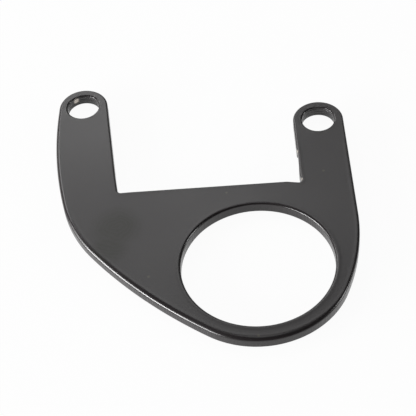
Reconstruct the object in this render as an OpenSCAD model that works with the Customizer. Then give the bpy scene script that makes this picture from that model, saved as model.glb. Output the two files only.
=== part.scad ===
// Gauge bracket for a motorbike: one flat steel plate, laser cut and coated black.
// Two arms rise from a ring. Each arm ends in an ear with a bolt hole, and the ring holds a round gauge.
// X runs along the floor of the notch, Y runs up the arms and Z is up through the plate.
// The plate lies on its back face, with the middle of the gauge hole at the origin. Lengths are in millimetres.

/* [Plate] */
// Thickness of the steel
plate_t = 4; // [3:0.5:6]
// Rounding of every rim, on the front face and on the back
edge_r = 0.5; // [0.3:0.1:0.7]

/* [Gauge ring] */
// Diameter of the hole that the gauge sits in
gauge_d = 48; // [42:1:52]
// Width of the ring around the gauge hole
ring_w = 5.25; // [4:0.25:7]

/* [Ears] */
// Diameter of the two bolt holes
bolt_hole_d = 11; // [8:0.5:13]
// Steel left around each bolt hole
ear_wall = 3; // [2.5:0.25:5]
// Right bolt hole, to the right of the gauge hole's middle
right_ear_x = 23.5; // [21:0.5:28]
// Right bolt hole, above the gauge hole's middle
right_ear_y = 60.5; // [54:0.5:70]
// Left bolt hole, to the left of the gauge hole's middle
left_ear_x = 57.5; // [52:0.5:64]
// Left bolt hole, above the gauge hole's middle
left_ear_y = 74.5; // [66:0.5:84]

/* [Notch between the arms] */
// Steel left between the gauge hole and the floor of the notch
notch_web = 9; // [6:0.5:14]
// Rounding in the two corners of the notch
notch_corner_r = 1.1; // [0.8:0.1:3]
// Lean of the right arm's inner edge, in degrees
right_inner_lean = 1; // [0:0.5:4]
// Lean of the left arm's inner edge, in degrees
left_inner_lean = 6; // [2:0.5:9]

/* [Outer edge] */
// Lean of the right arm's outer edge, in degrees
right_outer_lean = 1; // [0:0.5:4]
// Radius of the curve from the right arm down to the ring
right_flank_r = 70; // [55:1:100]
// Radius of the curve from the left ear down to the knee
left_flank_r = 160; // [110:5:260]
// Radius of the knee, the wide bend low on the left arm
knee_r = 50; // [46:1:54]
// Middle of the knee, to the left of the gauge hole's middle
knee_x = 13.5; // [10:0.5:17]
// Middle of the knee, above the gauge hole's middle
knee_y = 40; // [36:0.5:44]
// Radius of the curve from the knee to the ring
belly_r = 160; // [110:5:260]

/* [Corner relief] */
// Radius of the small relief that the cutting beam left in the right corner of the notch
relief_r = 0.9; // [0.6:0.1:1.2]
// How far the relief goes below the floor of the notch
relief_down = 0.7; // [0.4:0.1:1.2]
// How far the relief goes into the right arm
relief_side = 0.35; // [0.2:0.05:0.6]
// How far the relief fades out along the floor
relief_run = 4.4; // [3:0.1:8]
// How far the relief fades out up the right arm
relief_rise = 3; // [2:0.1:6]

/* [Hidden] */

// Fineness of the true curves, and how far a cutter runs past a face
$fn = 128;
past = 1;
// Steps in each rounded corner of the outer rim, and how far its flats may leave the true curve
rim_steps = 4;
rim_sag = 0.015;

// Radii that follow from the sizes above
gauge_r = gauge_d / 2;
ring_r = gauge_r + ring_w;
bolt_r = bolt_hole_d / 2;
ear_r = bolt_r + ear_wall;
floor_y = gauge_r + notch_web;

// Middles of the round forms
gauge_c = [0, 0];
right_c = [right_ear_x, right_ear_y];
left_c = [-left_ear_x, left_ear_y];
knee_c = [-knee_x, knee_y];

// The rim is a bar with rounded corners all round the plate and each bore, and the flat middle overlaps it
rim_w = 2.6 * edge_r;
core_in = 1.8 * edge_r;
core_sag = 0.4 * edge_r;

// Small geometry helpers
function dir(a) = [cos(a), sin(a)];
function turned(v) = [-v[1], v[0]];
function angle_of(v) = atan2(v[1], v[0]);
function after(a, a0) = a < a0 ? after(a + 360, a0) : a;

// Middle of a large circle that holds circles 1 and 2 inside it and touches both.
// It lies to the left of the way from circle 1 to circle 2.
function holding_c(c1, r1, c2, r2, big_r) =
    let (span = norm(c2 - c1))
    let (along = ((big_r - r1) ^ 2 - (big_r - r2) ^ 2 + span ^ 2) / (2 * span))
    let (aside = sqrt((big_r - r1) ^ 2 - along ^ 2))
    let (way = (c2 - c1) / span)
    c1 + along * way + aside * turned(way);

// Point where a straight line from p touches a circle, on the side that sign picks
function touch_point(p, c, r, sign) =
    let (far = norm(p - c))
    c + r * dir(angle_of(p - c) + sign * acos(r / far));

// Curves of the outer edge that have no middle of their own among the sizes
left_flank_c = holding_c(left_c, ear_r, knee_c, knee_r, left_flank_r);
belly_c = holding_c(knee_c, knee_r, gauge_c, ring_r, belly_r);
right_out = dir(right_outer_lean);
right_reach = right_c * right_out + ear_r - right_flank_r;
right_rise = sqrt((right_flank_r - ring_r) ^ 2 - right_reach ^ 2);
right_flank_c = right_reach * right_out + right_rise * turned(right_out);

// Directions out of the steel on the arms' inner edges, into the notch
right_in = dir(180 + right_inner_lean);
left_in = dir(left_inner_lean);

// The point in the notch that is a given distance off an arm's inner edge and off the floor
function notch_point(ear_c, out, off, up) =
    let (y = floor_y + up)
    [(ear_c * out + ear_r + off - y * out[1]) / out[0], y];
right_corner_c = notch_point(right_c, right_in, notch_corner_r, notch_corner_r);
left_corner_c = notch_point(left_c, left_in, notch_corner_r, notch_corner_r);

// Angles at which neighbouring curves meet, so that each runs smoothly into the next
a_ear_flank = angle_of(left_c - left_flank_c);
a_flank_knee = angle_of(knee_c - left_flank_c);
a_knee_belly = angle_of(knee_c - belly_c);
a_belly_ring = angle_of(gauge_c - belly_c);
a_ring_flank = angle_of(gauge_c - right_flank_c);

// One turn round the outline, against the clock. Each row is an arc's middle, radius, first and last angle.
// An arc whose last angle is the smaller one is hollow, and straight edges join the arcs that are apart.
function row(c, r, a0, a1) = [c, r, a0, after(a1, a0)];
outline = [
    row(left_c, ear_r, left_inner_lean, a_ear_flank),
    row(left_flank_c, left_flank_r, a_ear_flank, a_flank_knee),
    row(knee_c, knee_r, a_flank_knee, a_knee_belly),
    row(belly_c, belly_r, a_knee_belly, a_belly_ring),
    row(gauge_c, ring_r, a_belly_ring, a_ring_flank),
    row(right_flank_c, right_flank_r, a_ring_flank, right_outer_lean),
    row(right_c, ear_r, right_outer_lean, 180 + right_inner_lean),
    [right_corner_c, notch_corner_r, right_inner_lean, -90],
    [left_corner_c, notch_corner_r, -90, left_inner_lean - 180]
];
bores = [[gauge_c, gauge_r], [left_c, bolt_r], [right_c, bolt_r]];

// Points on an arc of the outline, a distance inside the steel
function hollow(arc) = arc[3] < arc[2];
function arc_point(arc, a, inside) = arc[0] + (arc[1] + (hollow(arc) ? inside : -inside)) * dir(a);
function arc_start(i) = arc_point(outline[i], outline[i][2], 0);
function arc_end(i) = arc_point(outline[i], outline[i][3], 0);

// The places along the outline where the rim's section stands, as an arc and an angle.
// A smaller sag puts them closer together. Arcs that run into each other share one place.
function arc_steps(arc, sag) = ceil(abs(arc[3] - arc[2]) / (2 * acos(1 - min(sag / arc[1], 0.3))));
function joins_next(i) = norm(arc_start((i + 1) % len(outline)) - arc_end(i)) < edge_r;
function places(sag) = [
    for (i = [0:len(outline) - 1])
        let (arc = outline[i], steps = arc_steps(arc, sag))
            for (k = [0:steps - (joins_next(i) ? 1 : 0)])
                [arc, arc[2] + (arc[3] - arc[2]) * k / steps]
];

// The rim's section as how far inside the steel and how high, from the back face round the wall to the front
rim_corner = [for (k = [0:rim_steps]) edge_r * (1 - sin(90 * k / rim_steps))];
rim_profile = concat(
    [[rim_w, 0]],
    [for (k = [0:rim_steps]) [rim_corner[k], rim_corner[rim_steps - k]]],
    [for (k = [0:rim_steps]) [rim_corner[rim_steps - k], plate_t - rim_corner[k]]],
    [[rim_w, plate_t]]
);

// The rounded rim that follows the whole outline, swept as one closed bar
module outline_rim() {
    stands = places(rim_sag);
    n = len(stands);
    m = len(rim_profile);
    points = [
        for (stand = stands)
            for (p = rim_profile)
                let (at = arc_point(stand[0], stand[1], p[0]))
                    [at[0], at[1], p[1]]
    ];
    faces = [
        for (j = [0:n - 1])
            for (k = [0:m - 1])
                let (a = j * m + k, b = j * m + (k + 1) % m)
                let (c = (j + 1) % n * m + (k + 1) % m, d = (j + 1) % n * m + k)
                    each [[a, b, c], [a, c, d]]
    ];
    polyhedron(points, faces);
}

// Section of a bore's rim, with the steel on the right of the wall at x = 0 and both corners rounded
module bore_rim_section() {
    translate([edge_r, 0])
        square([rim_w - edge_r, plate_t]);
    translate([0, edge_r])
        square([rim_w, plate_t - 2 * edge_r]);
    for (z = [edge_r, plate_t - edge_r])
        translate([edge_r, z])
            circle(edge_r);
}

// The rounded rims of the three bores
module bore_rims() {
    for (bore = bores)
        translate([bore[0][0], bore[0][1], 0])
            rotate_extrude()
                translate([bore[1], 0])
                    bore_rim_section();
}

// The flat middle of the plate, which ends inside the rims
module core() {
    difference() {
        linear_extrude(plate_t)
            polygon([for (place = places(core_sag)) arc_point(place[0], place[1], core_in)]);
        for (bore = bores)
            translate([bore[0][0], bore[0][1], -past])
                cylinder(h = plate_t + 2 * past, r = bore[1] + core_in);
    }
}

// The relief that the cutting beam left in the right corner of the notch
module corner_relief() {
    corner = notch_point(right_c, right_in, 0, 0);
    middle = corner + [relief_side - relief_r, relief_r - relief_down];
    along = corner - [relief_run, 0];
    up = notch_point(right_c, right_in, 0, relief_rise);
    translate([0, 0, -past])
        linear_extrude(plate_t + 2 * past) {
            translate(middle)
                circle(relief_r);
            polygon([middle, along, touch_point(along, middle, relief_r, 1)]);
            polygon([middle, touch_point(up, middle, relief_r, -1), up]);
            polygon([middle, up, along]);
        }
}

module bracket() {
    color("#4a4849")
        difference() {
            union() {
                core();
                bore_rims();
                outline_rim();
            }
            corner_relief();
        }
}

bracket();
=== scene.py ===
# %% [markdown]
# Gauge bracket, laser cut from 4 mm steel plate and coated black
# The bracket is one flat piece: a ring that holds a small gauge, and two arms that end in ears with bolt
# holes. Its looks come from three things: softened rims that catch the light, walls that still show the
# faint upright lines of the cutting beam, and a thin satin coating with small marks of handling.

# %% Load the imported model
import math

import bmesh
import bpy
import numpy as np
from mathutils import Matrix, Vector
from mathutils.geometry import delaunay_2d_cdt


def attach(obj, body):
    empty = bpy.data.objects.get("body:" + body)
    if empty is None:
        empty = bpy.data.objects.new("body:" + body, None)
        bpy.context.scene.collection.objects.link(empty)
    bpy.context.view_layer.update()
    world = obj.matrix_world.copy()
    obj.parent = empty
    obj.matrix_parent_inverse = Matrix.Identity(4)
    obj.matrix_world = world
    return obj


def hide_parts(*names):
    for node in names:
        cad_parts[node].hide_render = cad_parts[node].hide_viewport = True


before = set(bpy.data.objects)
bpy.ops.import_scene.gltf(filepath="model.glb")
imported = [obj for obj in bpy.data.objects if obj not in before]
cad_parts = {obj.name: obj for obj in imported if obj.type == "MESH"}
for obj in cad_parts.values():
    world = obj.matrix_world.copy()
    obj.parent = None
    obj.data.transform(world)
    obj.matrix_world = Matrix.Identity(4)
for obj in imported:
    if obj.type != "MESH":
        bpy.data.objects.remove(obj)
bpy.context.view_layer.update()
MM = 0.001

# %% [markdown]
# The outline is a turn of arcs and straight edges, each running smoothly into the next. A large circle that
# holds two smaller ones inside it and touches both gives the long gentle curves, so only the round ends,
# the knee and the ring need a place of their own. These are the sizes of the solid model.

# %% Sizes of the plate, in millimetres
THICK = 4.0
GAUGE_R, RING_R = 24.0, 29.25
BOLT_R, EAR_R = 5.5, 8.5
FLOOR_Y = 33.0
GAUGE, RIGHT, LEFT, KNEE = map(np.array, [(0.0, 0.0), (23.5, 60.5), (-57.5, 74.5), (-13.5, 40.0)])
KNEE_R, FLANK_L, FLANK_R, BELLY_R = 50.0, 160.0, 70.0, 160.0
LEAN_IN_R, LEAN_IN_L, LEAN_OUT_R = 1.0, 6.0, 1.0


# %% The outline's arcs
def way(deg):
    """Unit vector at an angle in degrees."""
    return np.array([math.cos(math.radians(deg)), math.sin(math.radians(deg))])


def bearing(v):
    """Angle of a vector in degrees."""
    return math.degrees(math.atan2(v[1], v[0]))


def holding(c1, r1, c2, r2, big):
    """Middle of the circle of radius big that holds two circles and touches both, on the left of the way
    from the first to the second: its distance to each middle is big less that circle's radius."""
    span = np.linalg.norm(c2 - c1)
    along = ((big - r1) ** 2 - (big - r2) ** 2 + span**2) / (2 * span)
    e = (c2 - c1) / span
    return c1 + along * e + math.sqrt((big - r1) ** 2 - along**2) * np.array([-e[1], e[0]])


def notch_point(ear, out, off, up):
    """Point in the notch, off millimetres from an arm's inner edge and up from the floor."""
    y = FLOOR_Y + up
    return np.array([(ear @ out + EAR_R + off - y * out[1]) / out[0], y])


left_flank = holding(LEFT, EAR_R, KNEE, KNEE_R, FLANK_L)
belly = holding(KNEE, KNEE_R, GAUGE, RING_R, BELLY_R)
out_r = way(LEAN_OUT_R)
reach = RIGHT @ out_r + EAR_R - FLANK_R
right_flank = reach * out_r + math.sqrt((FLANK_R - RING_R) ** 2 - reach**2) * np.array([-out_r[1], out_r[0]])
in_r, in_l = way(180 + LEAN_IN_R), way(LEAN_IN_L)
print("middles of the long curves", left_flank.round(2), belly.round(2), right_flank.round(2))

# %% [markdown]
# The cutting beam starts and slows down in the notch's corners, so they are not plain fillets. The right one
# is cut a little too deep, both below the floor and into the arm, and fades out along both edges. In the left
# one the steel stays a little fuller. The path is one closed turn with the steel on its left, so that the
# same sweep also makes the bores, whose paths run the other way round.

# %% Walk round the outline
# Longest step in millimetres, longest step as a share of an arc's radius, and fewest steps of an arc
STEP, SHARE, FEWEST = 0.27, 0.12, 4


def arc(c, r, a0, a1):
    """Points along an arc: the middle plus the radius times (cosine, sine) of the angle. A step is no longer
    than STEP millimetres or than a SHARE of the radius."""
    n = max(FEWEST, math.ceil(abs(math.radians(a1 - a0)) * r / min(STEP, r * SHARE)))
    a = np.radians(np.linspace(a0, a1, n + 1))[:-1]
    return c + r * np.stack([np.cos(a), np.sin(a)], 1)


def line(p, q):
    """Points along a straight edge, spaced evenly."""
    n = max(1, math.ceil(np.linalg.norm(q - p) / STEP))
    return p + (q - p) * (np.arange(n) / n)[:, None]


def after(a, a0):
    """The same direction, named by an angle that comes after a0."""
    return a0 + (a - a0) % 360


def touch(p, c, r, side):
    """Angle at which a straight line from p touches a circle: the bearing of p from the middle, turned by
    the angle whose cosine is the radius over the distance."""
    d = p - c
    return bearing(d) + side * math.degrees(math.acos(r / np.linalg.norm(d)))


def corner(ear, out, r, side_in, down, run, rise):
    """A notch corner cut by a circle that goes side_in past the arm's edge and down past the floor, with
    straight fades that start rise up the arm and run along the floor. Below zero it stays short of them."""
    c = notch_point(ear, out, r - side_in, r - down)
    on_arm, on_floor = notch_point(ear, out, 0, rise), notch_point(ear, out, 0, 0)
    on_floor = on_floor + np.array([math.copysign(run, out[0]), 0])
    return c, r, on_arm, on_floor


c_r, r_r, arm_r, floor_r = corner(RIGHT, in_r, r=0.9, side_in=0.35, down=0.7, run=4.4, rise=3.0)
c_l, r_l, arm_l, floor_l = corner(LEFT, in_l, r=1.2, side_in=-0.2, down=0.08, run=4.2, rise=7.0)
turns = [LEAN_IN_L]
for v in (LEFT - left_flank, KNEE - left_flank, KNEE - belly, GAUGE - belly, GAUGE - right_flank, out_r):
    turns.append(after(bearing(v), turns[-1]))
start_r, end_r = touch(arm_r, c_r, r_r, -1), touch(floor_r, c_r, r_r, 1)
start_l, end_l = touch(floor_l, c_l, r_l, -1), touch(arm_l, c_l, r_l, 1)
print("arc ends in degrees", np.round(turns, 2), "corner arcs", np.round([start_r, end_r, start_l, end_l], 1))


def hollow(c, r, a0, a1):
    """An arc that is walked clockwise, with the steel outside it."""
    return arc(c, r, a0, a1 if a1 < a0 else a1 - 360)


outline = np.concatenate(
    [
        arc(LEFT, EAR_R, turns[0], turns[1]),
        arc(left_flank, FLANK_L, turns[1], turns[2]),
        arc(KNEE, KNEE_R, turns[2], turns[3]),
        arc(belly, BELLY_R, turns[3], turns[4]),
        arc(GAUGE, RING_R, turns[4], turns[5]),
        arc(right_flank, FLANK_R, turns[5], turns[6]),
        line(right_flank + FLANK_R * out_r, RIGHT + EAR_R * out_r),
        arc(RIGHT, EAR_R, LEAN_OUT_R, 180 + LEAN_IN_R),
        line(RIGHT + EAR_R * in_r, arm_r),
        line(arm_r, c_r + r_r * way(start_r)),
        hollow(c_r, r_r, start_r, end_r),
        line(c_r + r_r * way(end_r), floor_r),
        line(floor_r, floor_l),
        line(floor_l, c_l + r_l * way(start_l)),
        hollow(c_l, r_l, start_l, end_l),
        line(c_l + r_l * way(end_l), arm_l),
        line(arm_l, LEFT + EAR_R * in_l),
    ]
)
print("outline", len(outline), "points, from", outline.min(0).round(2), "to", outline.max(0).round(2), "mm")

# %% [markdown]
# Every rim has one section, carried along the path. A tumbled and coated edge is not a sharp corner with a
# neat fillet: the coating draws back from the rim and leaves a low crest a little inside it, and from the
# crest the surface rolls over in a wide quarter turn, flatter in its middle than a round one, and runs straight
# down the wall. Part of a superellipse and a smooth ramp give that shape. The flatter middle mirrors one low
# lamp over a good width, which draws the bright line, and the quick bend above it draws the dark one.

# %% The rim's section
# Width and depth of the roll, how round it is (2 is a circle), and height and width of the crest's ramp
FRONT_ROLL, BACK_ROLL = (1.3, 1.1), (0.45, 0.4)
BEND = 1.6
CREST, CREST_W = 0.03, 1.25
RAMP_STEPS, ROUND_STEPS, WALL_STEPS = 4, 8, 4


def half_section(wide, deep):
    """One half, from the flat to the middle of the wall, as five columns that are added with a weight of
    their own: how far inside the steel a point is for the roll and for the crest, and how deep it lies for
    the roll, for the crest and for the wall. The ramp falls from the crest to the flat as a half wave of the
    cosine. The roll is a quarter of the superellipse (x / wide)^BEND + (z / deep)^BEND = 1, walked as
    sin(q)^(2 / BEND) and cos(q)^(2 / BEND), and the wall runs evenly from its end to the middle."""
    t = np.linspace(1, 0, RAMP_STEPS + 1)[:-1]
    ramp = np.stack([wide + 0 * t, CREST_W * t, 0 * t, CREST * (1 - np.cos(np.pi * t)) / 2, 0 * t], 1)
    q = np.linspace(0, np.pi / 2, ROUND_STEPS + 1)
    sin, cos = np.sin(q) ** (2 / BEND), np.cos(q).clip(0) ** (2 / BEND)
    roll = np.stack([wide * (1 - sin), 0 * q, deep * (1 - cos), 0 * q, 0 * q], 1)
    u = np.linspace(0, 1, WALL_STEPS + 1)[1:]
    wall = np.stack([0 * u, 0 * u, deep * (1 - u), 0 * u, THICK / 2 * u], 1)
    return np.concatenate([ramp, roll, wall])


front_half, back_half = half_section(*FRONT_ROLL), half_section(*BACK_ROLL)
m = 2 * len(front_half) - 1
print("section", m, "points, flat", CREST, "mm below the crest")

# %% [markdown]
# Tumbling wore the rim unevenly: the roll is widest along the left and the bottom, and about half that
# elsewhere. Round the bolt holes there is little steel, so the crest dies out there. On the right arm's inner
# edge a shallow nick dents the wall and the roll: it begins with a step and fades out downward.

# %% How the rim varies along the path
# Share of the crest left by a bolt hole, and how far from the hole's middle the crest begins and is full
EAR_CREST, CREST_FROM, CREST_FULL = 0.06, 9.0, 17.0
# Share of the roll on the less worn side, the way the worn side looks, where the step between them begins,
# and how many points each way its mean takes in
SMALL_ROLL, WORN_WAY, TURN, BLUR = 0.5, np.array([-0.6, -0.8]), 0.3, 20
# The notch from left to right, and the nick: its depth, from left to right, its top and the length of the
# step there, its lower end and the length of its fade
NOTCH_X = (-52, 18)
NICK, NICK_X, NICK_TOP, NICK_STEP, NICK_END, NICK_FADE = 0.3, (10, 17), 46.9, 0.9, 36.5, 7.0


def ease(t):
    """Smooth step from 0 to 1: 3t^2 - 2t^3."""
    t = np.clip(t, 0, 1)
    return t * t * (3 - 2 * t)


def room(path):
    """How much of the crest there is: hardly any up to CREST_FROM from a bolt hole's middle, all of it past
    CREST_FULL, and a smooth step between."""
    near = np.minimum(np.linalg.norm(path - LEFT, axis=1), np.linalg.norm(path - RIGHT, axis=1))
    return EAR_CREST + (1 - EAR_CREST) * ease((near - CREST_FROM) / (CREST_FULL - CREST_FROM))


def outer_roll(path, out):
    """Size of the roll along the outline: full where the rim looks left or down, SMALL_ROLL where it looks
    right or lies in the notch, and a smooth step between. Each value is the mean of BLUR points both ways."""
    notch = (path[:, 1] > FLOOR_Y - 1) & (path[:, 0] > NOTCH_X[0]) & (path[:, 0] < NOTCH_X[1])
    f = SMALL_ROLL + (1 - SMALL_ROLL) * np.where(notch, 0, ease(TURN + out @ WORN_WAY))
    wide = np.ones(2 * BLUR + 1) / (2 * BLUR + 1)
    return np.convolve(np.concatenate([f[-BLUR:], f, f[:BLUR]]), wide, "valid")


def nick(path):
    """Depth of the nick: full just below its top, over by its end, and only on the right arm's inner edge."""
    x, y = path.T
    here = (x > NICK_X[0]) & (x < NICK_X[1])
    return NICK * here * ease((NICK_TOP - y) / NICK_STEP) * ease((y - NICK_END) / NICK_FADE)


print("full crest from", CREST_FULL, "mm off a bolt hole, nick", round(NICK_TOP - NICK_END, 1), "mm long")

# %% [markdown]
# A swept surface is a grid: one row of points for each place on the path and one column for each point of the
# section. The cutting beam leaves fine steps on the wall that trail behind it as it goes down, so the wall
# moves in by a few hundredths of a millimetre with the distance along the path plus that trail, and stays
# inside the solid's outline.

# %% Sweep the section along a closed path
rng = np.random.default_rng(7)
# How far the whole wall moves in, and how far the beam trails at the bottom
INSET, TRAIL = 0.013, 0.9
# Height of the fine steps and of the long waves, and the most that they move the wall
FINE, WAVY, DEEPEST = 0.008, 0.01, 0.03
# Depth below the front at which they begin, and how much deeper they are full
RIPPLE_TOP, RIPPLE_FADE = 0.9, 0.7
BORE_POINTS = 160


def hum(s, length, lo, hi, count):
    """Sum of count sines with whole periods between lo and hi along a closed path, scaled to about one."""
    k = np.round(length / rng.uniform(lo, hi, count))
    phase, size = rng.uniform(0, 2 * np.pi, count), rng.uniform(0.5, 1, count)
    waves = size * np.sin(2 * np.pi * s[..., None] * k / length + phase)
    return waves.sum(-1) / math.sqrt(count)


def sweep(path, roll=None):
    """Grid of points and its quads. Each point is the path's point moved into the steel along the normal. The
    roll's size is outer_roll's, or one number for a bore."""
    ahead, behind = np.roll(path, -1, 0), np.roll(path, 1, 0)
    t = ahead - behind
    t /= np.linalg.norm(t, axis=1, keepdims=True)
    out = np.stack([t[:, 1], -t[:, 0]], 1)
    gap = np.linalg.norm(ahead - path, axis=1)
    s, length = np.concatenate([[0], np.cumsum(gap)[:-1]]), gap.sum()
    crest = room(path)[:, None]
    roll = (outer_roll(path, out) if roll is None else np.full(len(path), roll))[:, None]
    ins, low = [], []
    for h, f in ((front_half, roll), (back_half, 1.0)):
        ins.append(h[:, 0] * f + h[:, 1] * crest)
        low.append(h[:, 2] * f + h[:, 3] * crest + h[:, 4])
    inside = np.concatenate([ins[0], ins[1][:, -2::-1]], 1)
    z = np.concatenate([THICK - low[0], low[1][:, -2::-1]], 1)
    wall = np.clip(1 - inside / (FRONT_ROLL[0] * roll), 0, 1)
    along = s[:, None] + TRAIL * (1 - z / THICK) ** 2
    ripple = FINE * hum(along, length, lo=1.0, hi=2.4, count=7)
    ripple = ripple + WAVY * hum(along, length, lo=9, hi=30, count=4)
    ripple = ripple.clip(0, DEEPEST) * ease((THICK - z - RIPPLE_TOP) / RIPPLE_FADE)
    depth = inside + wall * (INSET + ripple + nick(path)[:, None])
    grid = np.concatenate([path[:, None, :] - depth[..., None] * out[:, None, :], z[..., None]], -1)
    n = len(path)
    i, j = np.meshgrid(np.arange(n), np.arange(m - 1), indexing="ij")
    k = (i + 1) % n
    quads = np.stack([i * m + j, i * m + j + 1, k * m + j + 1, k * m + j], -1).reshape(-1, 4)
    return grid.reshape(-1, 3), quads


def bore_path(c, r):
    """A circle walked clockwise, so that the steel is on its left."""
    n = max(BORE_POINTS, math.ceil(2 * math.pi * r / STEP))
    a = -2 * np.pi * np.arange(n) / n
    return c + r * np.stack([np.cos(a), np.sin(a)], 1)


# Each bore's middle, its radius and the size of its roll
bores = ((GAUGE, GAUGE_R, 0.6), (LEFT, BOLT_R, 0.42), (RIGHT, BOLT_R, 0.42))
rims = [sweep(outline)] + [sweep(bore_path(c, r), roll) for c, r, roll in bores]
print("rim points", [len(r[0]) for r in rims])

# %% [markdown]
# The flats on both sides are filled with triangles between the swept rims, and everything is joined into one
# closed plate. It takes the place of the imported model's plain solid and moves with the root body.

# %% Fill the flats and make the plate
counts = [len(r[0]) for r in rims]
starts = np.concatenate([[0], np.cumsum(counts)[:-1]])
points = np.concatenate([r[0] for r in rims])
# The mode that fills only inside the loops, and how close two points count as one, in millimetres
FILL_INSIDE, SAME_PLACE = 2, 1e-6


def fill(column):
    """Triangles between the loops that one column of every sweep makes, as numbers of the plate's points.
    A triangle with all its corners on one bore's loop lies inside that bore and is left out."""
    loops = [starts[k] + column + m * np.arange(counts[k] // m) for k in range(len(rims))]
    ids = np.concatenate(loops)
    edges, base = [], 0
    for loop in loops:
        n = len(loop)
        edges += [(base + i, base + (i + 1) % n) for i in range(n)]
        base += n
    out = delaunay_2d_cdt([Vector(points[i, :2]) for i in ids], edges, [], FILL_INSIDE, SAME_PLACE)
    tris = ids[[o[0] for o in out[3]]][np.array(out[2])]
    which = np.searchsorted(starts, tris, side="right")
    return tris[~((which[:, :1] == which).all(1) & (which[:, 0] > 1))]


front, back = fill(0), fill(m - 1)[:, ::-1]
quads = np.concatenate([r[1] + s for r, s in zip(rims, starts)])
sides = np.concatenate([quads.ravel(), front.ravel(), back.ravel()])
sizes = np.concatenate([np.full(len(quads), 4), np.full(len(front) + len(back), 3)])
mesh = bpy.data.meshes.new("plate")
mesh.vertices.add(len(points))
mesh.vertices.foreach_set("co", (points * MM).ravel())
mesh.loops.add(len(sides))
mesh.loops.foreach_set("vertex_index", sides.astype(np.int32))
mesh.polygons.add(len(sizes))
mesh.polygons.foreach_set("loop_start", np.concatenate([[0], np.cumsum(sizes)[:-1]]).astype(np.int32))
mesh.update(calc_edges=True)
mesh.validate()
mesh.shade_smooth()
plate = bpy.data.objects.new("plate", mesh)
bpy.context.collection.objects.link(plate)
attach(plate, "root")
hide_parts("bracket")

bm = bmesh.new()
bm.from_mesh(mesh)
open_edges = sum(not e.is_manifold for e in bm.edges)
volume = round(bm.calc_volume() / MM**3, 1)
print("plate", len(mesh.polygons), "faces,", open_edges, "open edges,", volume, "mm3")
bm.free()

# %% [markdown]
# The finish is satin black enamel on steel, sprayed and baked: a dark, almost neutral base under a thin skin
# that mirrors lamps softly. To the eye that gives an even dark grey with a bright line only where a rim faces
# a lamp. One material carries the whole plate: the skin's tone and sheen drift over a hand's width, small
# marks break it, the walls keep the beam's upright lines, and the bolt holes have rings from the drill. The
# rims are a little smoother, because the enamel flows there. Patterns read Object coordinates, so they stay
# put on the steel from every side. The grain and the lines of the real coating are finer than the picture can
# show, so they are drawn as coarse as they need to be seen.

# %% Colours and nodes
def colour(code):
    """Linear colour of an sRGB hex code: each part below 0.04045 is divided by 12.92, and the rest is
    ((part + 0.055) / 1.055) to the power 2.4."""
    parts = [int(code[i : i + 2], 16) / 255 for i in (1, 3, 5)]
    return [p / 12.92 if p <= 0.04045 else ((p + 0.055) / 1.055) ** 2.4 for p in parts] + [1.0]


def add(tree, kind, links=None, **values):
    """Adds one node. Values name its settings or its inputs, and links name the socket that feeds an input."""
    made = tree.nodes.new(kind)
    for name, value in values.items():
        if hasattr(made, name):
            setattr(made, name, value)
        else:
            made.inputs[name.replace("_", " ")].default_value = value
    for name, socket in (links or {}).items():
        tree.links.new(socket, made.inputs[name])
    return made


def calc(operation, *inputs):
    """Output of a math node. Each input is a socket that feeds it or a plain number."""
    made = add(tree, "ShaderNodeMath", operation=operation)
    for socket, value in zip(made.inputs, inputs):
        if isinstance(value, (int, float)):
            socket.default_value = value
        else:
            tree.links.new(value, socket)
    return made.outputs[0]


def span(value, **ends):
    """Output of a node that maps a value from one range to another and holds it at the ends."""
    return add(tree, "ShaderNodeMapRange", {"Value": value}, **ends).outputs[0]


def per(size):
    """Texture scale at which a pattern's features are size millimetres wide: one over the size in metres."""
    return 1 / (size * MM)


coating = bpy.data.materials.new("satin black coating")
coating.use_nodes = True
tree = coating.node_tree
tree.nodes.clear()
place = add(tree, "ShaderNodeTexCoord").outputs["Object"]
print("a pattern of 1 mm has the scale", per(1.0), "- patterns are placed by", place.name, "coordinates")

# %% The skin's tone and sheen
# Size of the drift in millimetres, and the noise at which its dark and its light end are reached
HAND, LOW, HIGH = 45.0, 0.3, 0.7
drift = add(tree, "ShaderNodeTexNoise", {"Vector": place}, Scale=per(HAND), Detail=3.0, Roughness=0.55)
tone = add(tree, "ShaderNodeValToRGB", {"Fac": drift.outputs["Fac"]})
for end, position, code in zip(tone.color_ramp.elements, (LOW, HIGH), ("#1e1b1c", "#232021")):
    end.position, end.color = position, colour(code)
sheen = span(drift.outputs["Fac"], From_Min=LOW, From_Max=HIGH, To_Min=0.28, To_Max=0.34)
print("tones", [[round(c, 4) for c in e.color[:3]] for e in tone.color_ramp.elements])

# %% [markdown]
# Handling left its marks. Bare steel shows on the far wall of the left bolt hole and at the nick, where the
# light steel colour also paints the highlight on the nick's bright facet. In the notch's right corner the same
# light steel colour is a painted highlight on the relief's wall, which catches the light from the left. A few
# specks and one soft dull smudge low on the left arm are dirt, the smudge rubbed in faint arcs. Each mark is
# the distance to a point, turned into a mask that is one in the middle and falls to nothing at its radius, and
# some noise on the coordinates keeps it from being a neat circle.

# %% Marks of handling and painted highlights
# Each mark is the x, y and z of its middle and its radius, in millimetres
# The first of the light steel marks is bare steel. The two at the nick are bare steel with a painted highlight
# on its facet, and the last, in the notch's right corner, is only a painted highlight.
BARE_AND_HIGHLIGHTS = [(-60.3, 79.2, 2.5, 1.4), (15.4, 46.3, 3.3, 0.75), (15.4, 46.0, 2.2, 0.6), (15.6, 33.5, 3.7, 0.8)]
SPECKS = [(23.3, 36.4, 4.0, 0.6), (-8.7, 29.6, 4.0, 0.5), (-33.9, -3.0, 4.0, 0.6), (-1.2, -27.7, 4.0, 0.5)]
SMUDGE = [(-44.4, 17.8, 4.0, 9.5), (-46.5, 9.5, 4.0, 7.0)]
# Distance between the rubbed arcs, how much rougher the smudge is, and the marks' colours
ARC_GAP, DULLER = 1.5, 0.05
RUBBED, DIRT, STEEL_AND_HIGHLIGHT = "#131209", "#3a372e", "#b5aea6"


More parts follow.
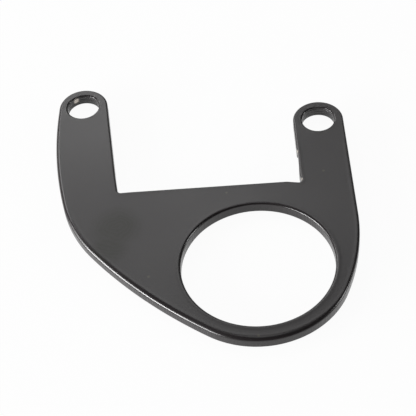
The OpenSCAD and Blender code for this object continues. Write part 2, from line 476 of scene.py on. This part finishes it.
def distances(spots, grit, shake):
    """Distance to each spot from a place that is shaken by noise of grit millimetres, whose middle value is
    a half."""
    noise = add(tree, "ShaderNodeTexNoise", {"Vector": place}, Scale=per(grit), Detail=3.0)
    moved = add(tree, "ShaderNodeVectorMath", {0: noise.outputs["Color"], 2: place}, operation="MULTIPLY_ADD")
    moved.inputs[1].default_value = (shake * MM,) * 3
    for x, y, z, r in spots:
        far = add(tree, "ShaderNodeVectorMath", {0: moved.outputs[0]}, operation="DISTANCE")
        far.inputs[1].default_value = [(v + shake / 2) * MM for v in (x, y, z)]
        yield far.outputs["Value"], r * MM


def marks(spots, soft, grit, shake):
    """Largest of the spots' masks. Each is (radius - distance) / (soft times the radius), from 0 to 1."""
    mask = None
    for far, r in distances(spots, grit, shake):
        one = span(far, From_Min=r, From_Max=r * (1 - soft))
        mask = one if mask is None else calc("MAXIMUM", mask, one)
    return mask


def mixed(mask, below, above):
    """Colour mixed from below to above by a mask."""
    mix = add(tree, "ShaderNodeMix", data_type="RGBA")
    tree.links.new(mask, mix.inputs[0])
    tree.links.new(below, mix.inputs[6])
    mix.inputs[7].default_value = colour(above)
    return mix.outputs[2]


# Light, metallic steel colour: bare steel at the left bolt hole and the nick, and painted highlights on the
# nick's facet and in the notch's right corner.
bare_and_highlights = marks(BARE_AND_HIGHLIGHTS, soft=0.5, grit=0.7, shake=0.7)
specks = marks(SPECKS, soft=0.5, grit=0.7, shake=0.2)
smudge = marks(SMUDGE, soft=0.55, grit=6.0, shake=4.0)
rub = next(distances(SMUDGE[:1], grit=6.0, shake=5.0))[0]
wave = calc("SINE", calc("MULTIPLY", rub, 2 * math.pi * per(ARC_GAP)))
smudge = calc("MULTIPLY", smudge, span(wave, From_Min=-1.0, From_Max=1.0, To_Min=0.7, To_Max=1.0))
tint = mixed(bare_and_highlights, mixed(specks, mixed(smudge, tone.outputs["Color"], RUBBED), DIRT), STEEL_AND_HIGHLIGHT)
dull = calc("MULTIPLY_ADD", smudge, DULLER, sheen)
print("marks", len(BARE_AND_HIGHLIGHTS), len(SPECKS), len(SMUDGE), "nodes so far", len(tree.nodes))

# %% Grain, beam lines and the shader
# Size of the grain, its strength and its depth, and width, height and depth of the beam lines and the rings
GRAIN, GRAIN_SHARE, GRAIN_DEEP = 1.1, 0.12, 0.06
LINE_W, LINE_H, LINE_DEEP = 0.45, 8.0, 0.12
RING_W, RING_H, RING_DEEP = 6.5, 0.4, 0.3
# How upright a normal is where the wall and the roll begin and are full, and how much smoother the roll is
WALL_FROM, WALL_FULL, ROLL_FROM, ROLL_FULL, SMOOTHER = 0.45, 0.15, 0.97, 0.8, -0.07


def streaks(wide, high):
    """Noise whose features are wide millimetres across the plate and high millimetres through it."""
    at = add(tree, "ShaderNodeMapping", {"Vector": place}, Scale=(per(wide), per(wide), per(high))).outputs[0]
    made = add(tree, "ShaderNodeTexNoise", {"Vector": at}, Scale=1.0, Detail=2.0, Roughness=0.6)
    return made.outputs["Fac"]


def dented(height, strength, below, deep):
    """Normal bent by a height map that is deep millimetres deep, as far as the strength socket lets it."""
    links = {"Height": height, "Strength": strength, "Normal": below}
    return add(tree, "ShaderNodeBump", links, Distance=deep * MM).outputs["Normal"]


grain = add(tree, "ShaderNodeTexNoise", {"Vector": place}, Scale=per(GRAIN), Detail=2.0, Roughness=0.5)
normal = add(tree, "ShaderNodeNewGeometry").outputs["Normal"]
facing = calc("ABSOLUTE", add(tree, "ShaderNodeSeparateXYZ", {"Vector": normal}).outputs["Z"])
steep = span(facing, From_Min=WALL_FROM, From_Max=WALL_FULL)
gloss = calc("ADD", dull, span(facing, From_Min=ROLL_FROM, From_Max=ROLL_FULL, To_Max=SMOOTHER))
in_ears = marks([(*ear, THICK / 2, EAR_R - 1) for ear in (LEFT, RIGHT)], soft=0.1, grit=100.0, shake=0.0)
height = {"Height": grain.outputs["Fac"]}
rough = add(tree, "ShaderNodeBump", height, Strength=GRAIN_SHARE, Distance=GRAIN_DEEP * MM).outputs["Normal"]
cut = dented(streaks(LINE_W, LINE_H), steep, rough, LINE_DEEP)
cut = dented(streaks(RING_W, RING_H), in_ears, cut, RING_DEEP)
links = {"Base Color": tint, "Roughness": gloss, "Metallic": bare_and_highlights, "Normal": cut}
skin = add(tree, "ShaderNodeBsdfPrincipled", links)
tree.links.new(skin.outputs[0], add(tree, "ShaderNodeOutputMaterial").inputs["Surface"])
mesh.materials.append(coating)
print("nodes in the coating", len(tree.nodes))

# %% [markdown]
# The bracket lies on a plain white table. Table and backdrop are one wide sheet, lit like the bracket, and a
# share of its white is its own, so that the picture's ground stays white while the shadow is still there.

# %% White table
# Half the table's width in metres, how far it lies below the plate in millimetres, and its own share of white
TABLE, DROP, OWN_WHITE = 6.0, 0.1, 0.95
sheet = bpy.data.meshes.new("table")
corners = [(x * TABLE, y * TABLE, -DROP * MM) for x, y in ((-1, -1), (1, -1), (1, 1), (-1, 1))]
sheet.from_pydata(corners, [], [(0, 1, 2, 3)])
table = bpy.data.objects.new("table", sheet)
bpy.context.collection.objects.link(table)
white = bpy.data.materials.new("white table")
white.use_nodes = True
tree = white.node_tree
tree.nodes.clear()
paint = add(tree, "ShaderNodeBsdfDiffuse", Color=colour("#f4f4f4")).outputs[0]
glow = add(tree, "ShaderNodeEmission", Color=colour("#ffffff"), Strength=1.0).outputs[0]
path = add(tree, "ShaderNodeLightPath").outputs
seen = calc("MAXIMUM", path["Is Camera Ray"], path["Is Glossy Ray"])
seen = calc("MAXIMUM", seen, path["Is Transmission Ray"])
both = add(tree, "ShaderNodeMixShader", {0: calc("MULTIPLY", seen, OWN_WHITE), 1: paint, 2: glow})
tree.links.new(both.outputs[0], add(tree, "ShaderNodeOutputMaterial").inputs["Surface"])
sheet.materials.append(white)
print("table", TABLE * 2, "m square")

# %% [markdown]
# Glossy black shows little but what it mirrors, so the lamps are placed by what each face looks at. The flat
# front mirrors the soft lamps behind the bracket, which are stronger on the left. A low row of lamps on the
# left draws the bright line along the rounded rim, from the knee down to the ring. A weaker one on the right
# lifts the walls there, one overhead fills in the shadow, and the studio itself is a dim grey. Between the low
# lamps and the high ones it stays dark, which is why a dark line runs beside each rim.

# %% Lamps and studio
# Middle of the bracket and distance of the lamps in metres, and strength of the studio's grey
MIDDLE, FAR, STUDIO = Vector((-0.015, 0.025, 0.0)), 1.1, 0.05


def lamp(name, azimuth, height, size, power):
    """A square area lamp on a sphere round the bracket's middle, turned to it. Its place is the sphere's
    radius times (cosine of azimuth times cosine of height, sine of azimuth times cosine of height, sine of
    height), with both angles in degrees and the size in metres."""
    az, up = math.radians(azimuth), math.radians(height)
    at = Vector((math.cos(az) * math.cos(up), math.sin(az) * math.cos(up), math.sin(up)))
    data = bpy.data.lights.new(name, "AREA")
    data.shape, data.size, data.energy = "SQUARE", size, power
    made = bpy.data.objects.new(name, data)
    made.location = at * FAR + MIDDLE
    made.rotation_euler = at.to_track_quat("Z", "Y").to_euler()
    bpy.context.collection.objects.link(made)


lamp("left softbox", 172, 12, 0.36, 2.8)
lamp("low left softbox, back", 188, 8, 0.3, 9.0)
lamp("low left softbox, middle", 205, 9, 0.28, 8.5)
lamp("low left softbox, front", 220, 8, 0.26, 5.0)
lamp("low right softbox", 0, 14, 0.36, 4.1)
lamp("far left softbox", 135, 32, 0.36, 2.5)
lamp("back left softbox", 110, 32, 0.36, 1.7)
lamp("back right softbox", 60, 32, 0.36, 0.5)
lamp("back softbox", 92, 49, 0.36, 1.05)
lamp("overhead softbox", 0, 88, 0.36, 1.2)
studio = bpy.data.worlds.new("grey studio")
bpy.context.scene.world = studio
studio.use_nodes = True
air = studio.node_tree.nodes["Background"].inputs
air["Color"].default_value, air["Strength"].default_value = colour("#d8d8d8"), STUDIO
bpy.context.scene.view_settings.view_transform = "Standard"

# %% [markdown]
# The camera stands where the photograph was taken from. Its place in metres, its angles in degrees and its
# lens in millimetres were solved from the three holes and the outline in the photograph.

# %% Camera
eye = bpy.data.objects.new("camera", bpy.data.cameras.new("camera"))
eye.location = (0.00125, -0.24185, 0.30515)
eye.rotation_euler = [math.radians(d) for d in (41.251, 4.2678, -1.3672)]
eye.data.lens, eye.data.sensor_width = 108.095, 36.0
eye.data.clip_start = 0.01
bpy.context.collection.objects.link(eye)
bpy.context.scene.camera = eye
print("camera", round((eye.location - MIDDLE).length, 3), "m from the bracket's middle")
